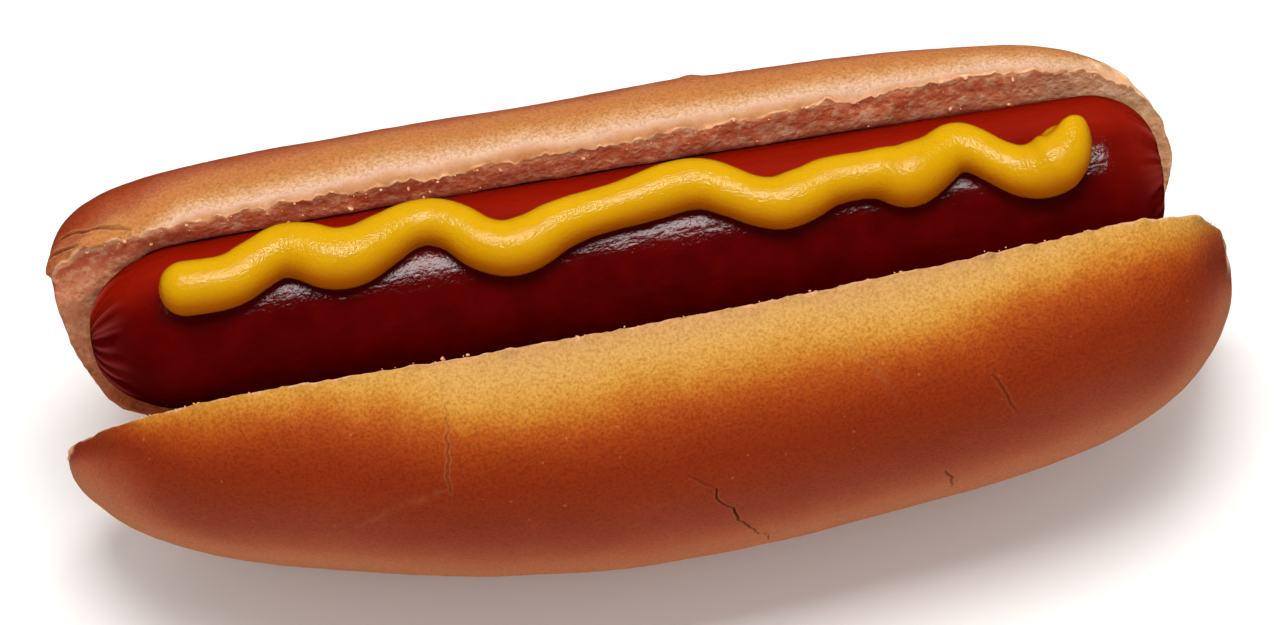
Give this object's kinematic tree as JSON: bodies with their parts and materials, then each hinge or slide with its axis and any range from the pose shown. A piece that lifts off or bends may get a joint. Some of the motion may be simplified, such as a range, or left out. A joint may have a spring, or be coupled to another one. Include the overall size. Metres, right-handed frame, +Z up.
{
  "type": "hot dog",
  "caption": "Hot dog: a soft side-sliced bun standing on its hinge and opened like a book, a frankfurter lying in the slit, and a wavy bead of mustard piped along the top",
  "frame": {"origin": "on the surface the hot dog rests on, under the middle of its box", "axes": "+X along the bun towards its blunt end, +Y towards the taller half behind the frankfurter, +Z up"},
  "size_m": [0.1514, 0.0568, 0.0606],
  "materials": {
    "bun_crust": "soft baked crust, golden at the cut edge and brown towards the base",
    "sausage_skin": "moist glossy skin",
    "mustard": "smooth wet paste"
  },
  "bodies": {
    "root": {"bun": "bun_crust", "sausage": "sausage_skin", "mustard": "mustard"}
  },
  "joints": []
}
